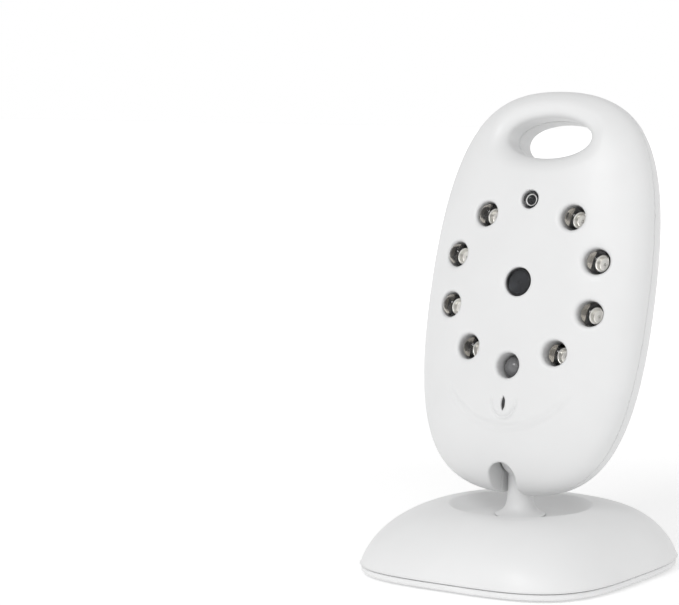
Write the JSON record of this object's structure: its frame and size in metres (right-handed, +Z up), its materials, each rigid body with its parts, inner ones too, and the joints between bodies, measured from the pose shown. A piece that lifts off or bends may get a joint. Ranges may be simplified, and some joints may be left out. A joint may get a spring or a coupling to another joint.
{
  "type": "baby monitor camera",
  "caption": "Egg-shaped baby monitor camera with a finger hole and a ring of infrared lamps, tilting on a ball neck that swivels in a weighted square base.",
  "frame": {"origin": "centre of the footprint, on the surface that the base stands on", "axes": "+Z up, the camera faces -Y, +X to the right seen from in front with the back away"},
  "size_m": [0.0582, 0.0618, 0.1018],
  "materials": {
    "shell_white": "semi-gloss moulded ABS",
    "base_white": "semi-gloss moulded ABS",
    "trim_white": "satin moulded plastic",
    "black_plastic": "satin black",
    "sensor_black": "gloss black epoxy",
    "lens_glass": "coated dark lens glass",
    "lamp_clear": "water-clear epoxy dome",
    "lamp_smoke": "smoke-tinted epoxy dome",
    "circuit_board": "solder-masked glass fibre board",
    "chip": "moulded epoxy package",
    "steel": "zinc-plated steel",
    "iron": "rough cast weight",
    "rubber": "matt rubber"
  },
  "bodies": {
    "base": {"base_shell": "base_white", "base_plate": "base_white", "ballast_weight": "iron", "wave_spring": "steel", "rubber_foot_front_left": "rubber", "base_screw_front_left": "steel", "rubber_foot_front_right": "rubber", "base_screw_front_right": "steel", "rubber_foot_rear_left": "rubber", "base_screw_rear_left": "steel", "rubber_foot_rear_right": "rubber", "base_screw_rear_right": "steel"},
    "neck": {"neck_post": "base_white", "swivel_washer": "steel", "swivel_screw": "steel"},
    "head": {"front_shell": "shell_white", "rear_shell": "shell_white", "lens_barrel": "black_plastic", "front_lens": "lens_glass", "rear_lens_group": "lens_glass", "lens_holder": "black_plastic", "image_sensor": "chip", "led_board": "circuit_board", "main_board": "circuit_board", "ir_led_1": "lamp_clear", "ir_led_2": "lamp_clear", "ir_led_3": "lamp_clear", "ir_led_4": "lamp_clear", "ir_led_5": "lamp_clear", "ir_led_6": "lamp_clear", "ir_led_7": "lamp_clear", "ir_led_8": "lamp_clear", "daylight_sensor": "sensor_black", "status_lamp": "lamp_smoke", "microphone": "steel", "microphone_seal": "rubber", "speaker": "iron", "antenna": "circuit_board", "board_connector": "black_plastic", "ball_cup_front": "trim_white", "ball_cup_rear": "trim_white", "head_screw_top_left": "steel", "head_screw_top_right": "steel", "head_screw_bottom_left": "steel", "head_screw_bottom_right": "steel", "pair_switch": "steel", "power_switch_body": "steel", "power_socket": "steel"},
    "pair_button": {"pair_button": "trim_white"},
    "power_switch": {"power_switch": "black_plastic"}
  },
  "joints": [
    {"name": "neck_swivel", "type": "hinge", "parent": "base", "child": "neck", "pos_m": [0, 0, 0.012], "axis": [0, 0, 1], "range_deg": [-90, 90]},
    {"name": "head_tilt", "type": "hinge", "parent": "neck", "child": "head", "pos_m": [0, 0, 0.0245], "axis": [1, 0, 0], "range_deg": [-12, 58]},
    {"name": "pair_button_press", "type": "slide", "parent": "head", "child": "pair_button", "axis": [0, -0.9703, 0.2419], "range_m": [0, 0.0005], "stiffness_N_per_m": 900},
    {"name": "power_switch_slide", "type": "slide", "parent": "head", "child": "power_switch", "axis": [1, 0, 0], "range_m": [0, 0.0025]}
  ]
}
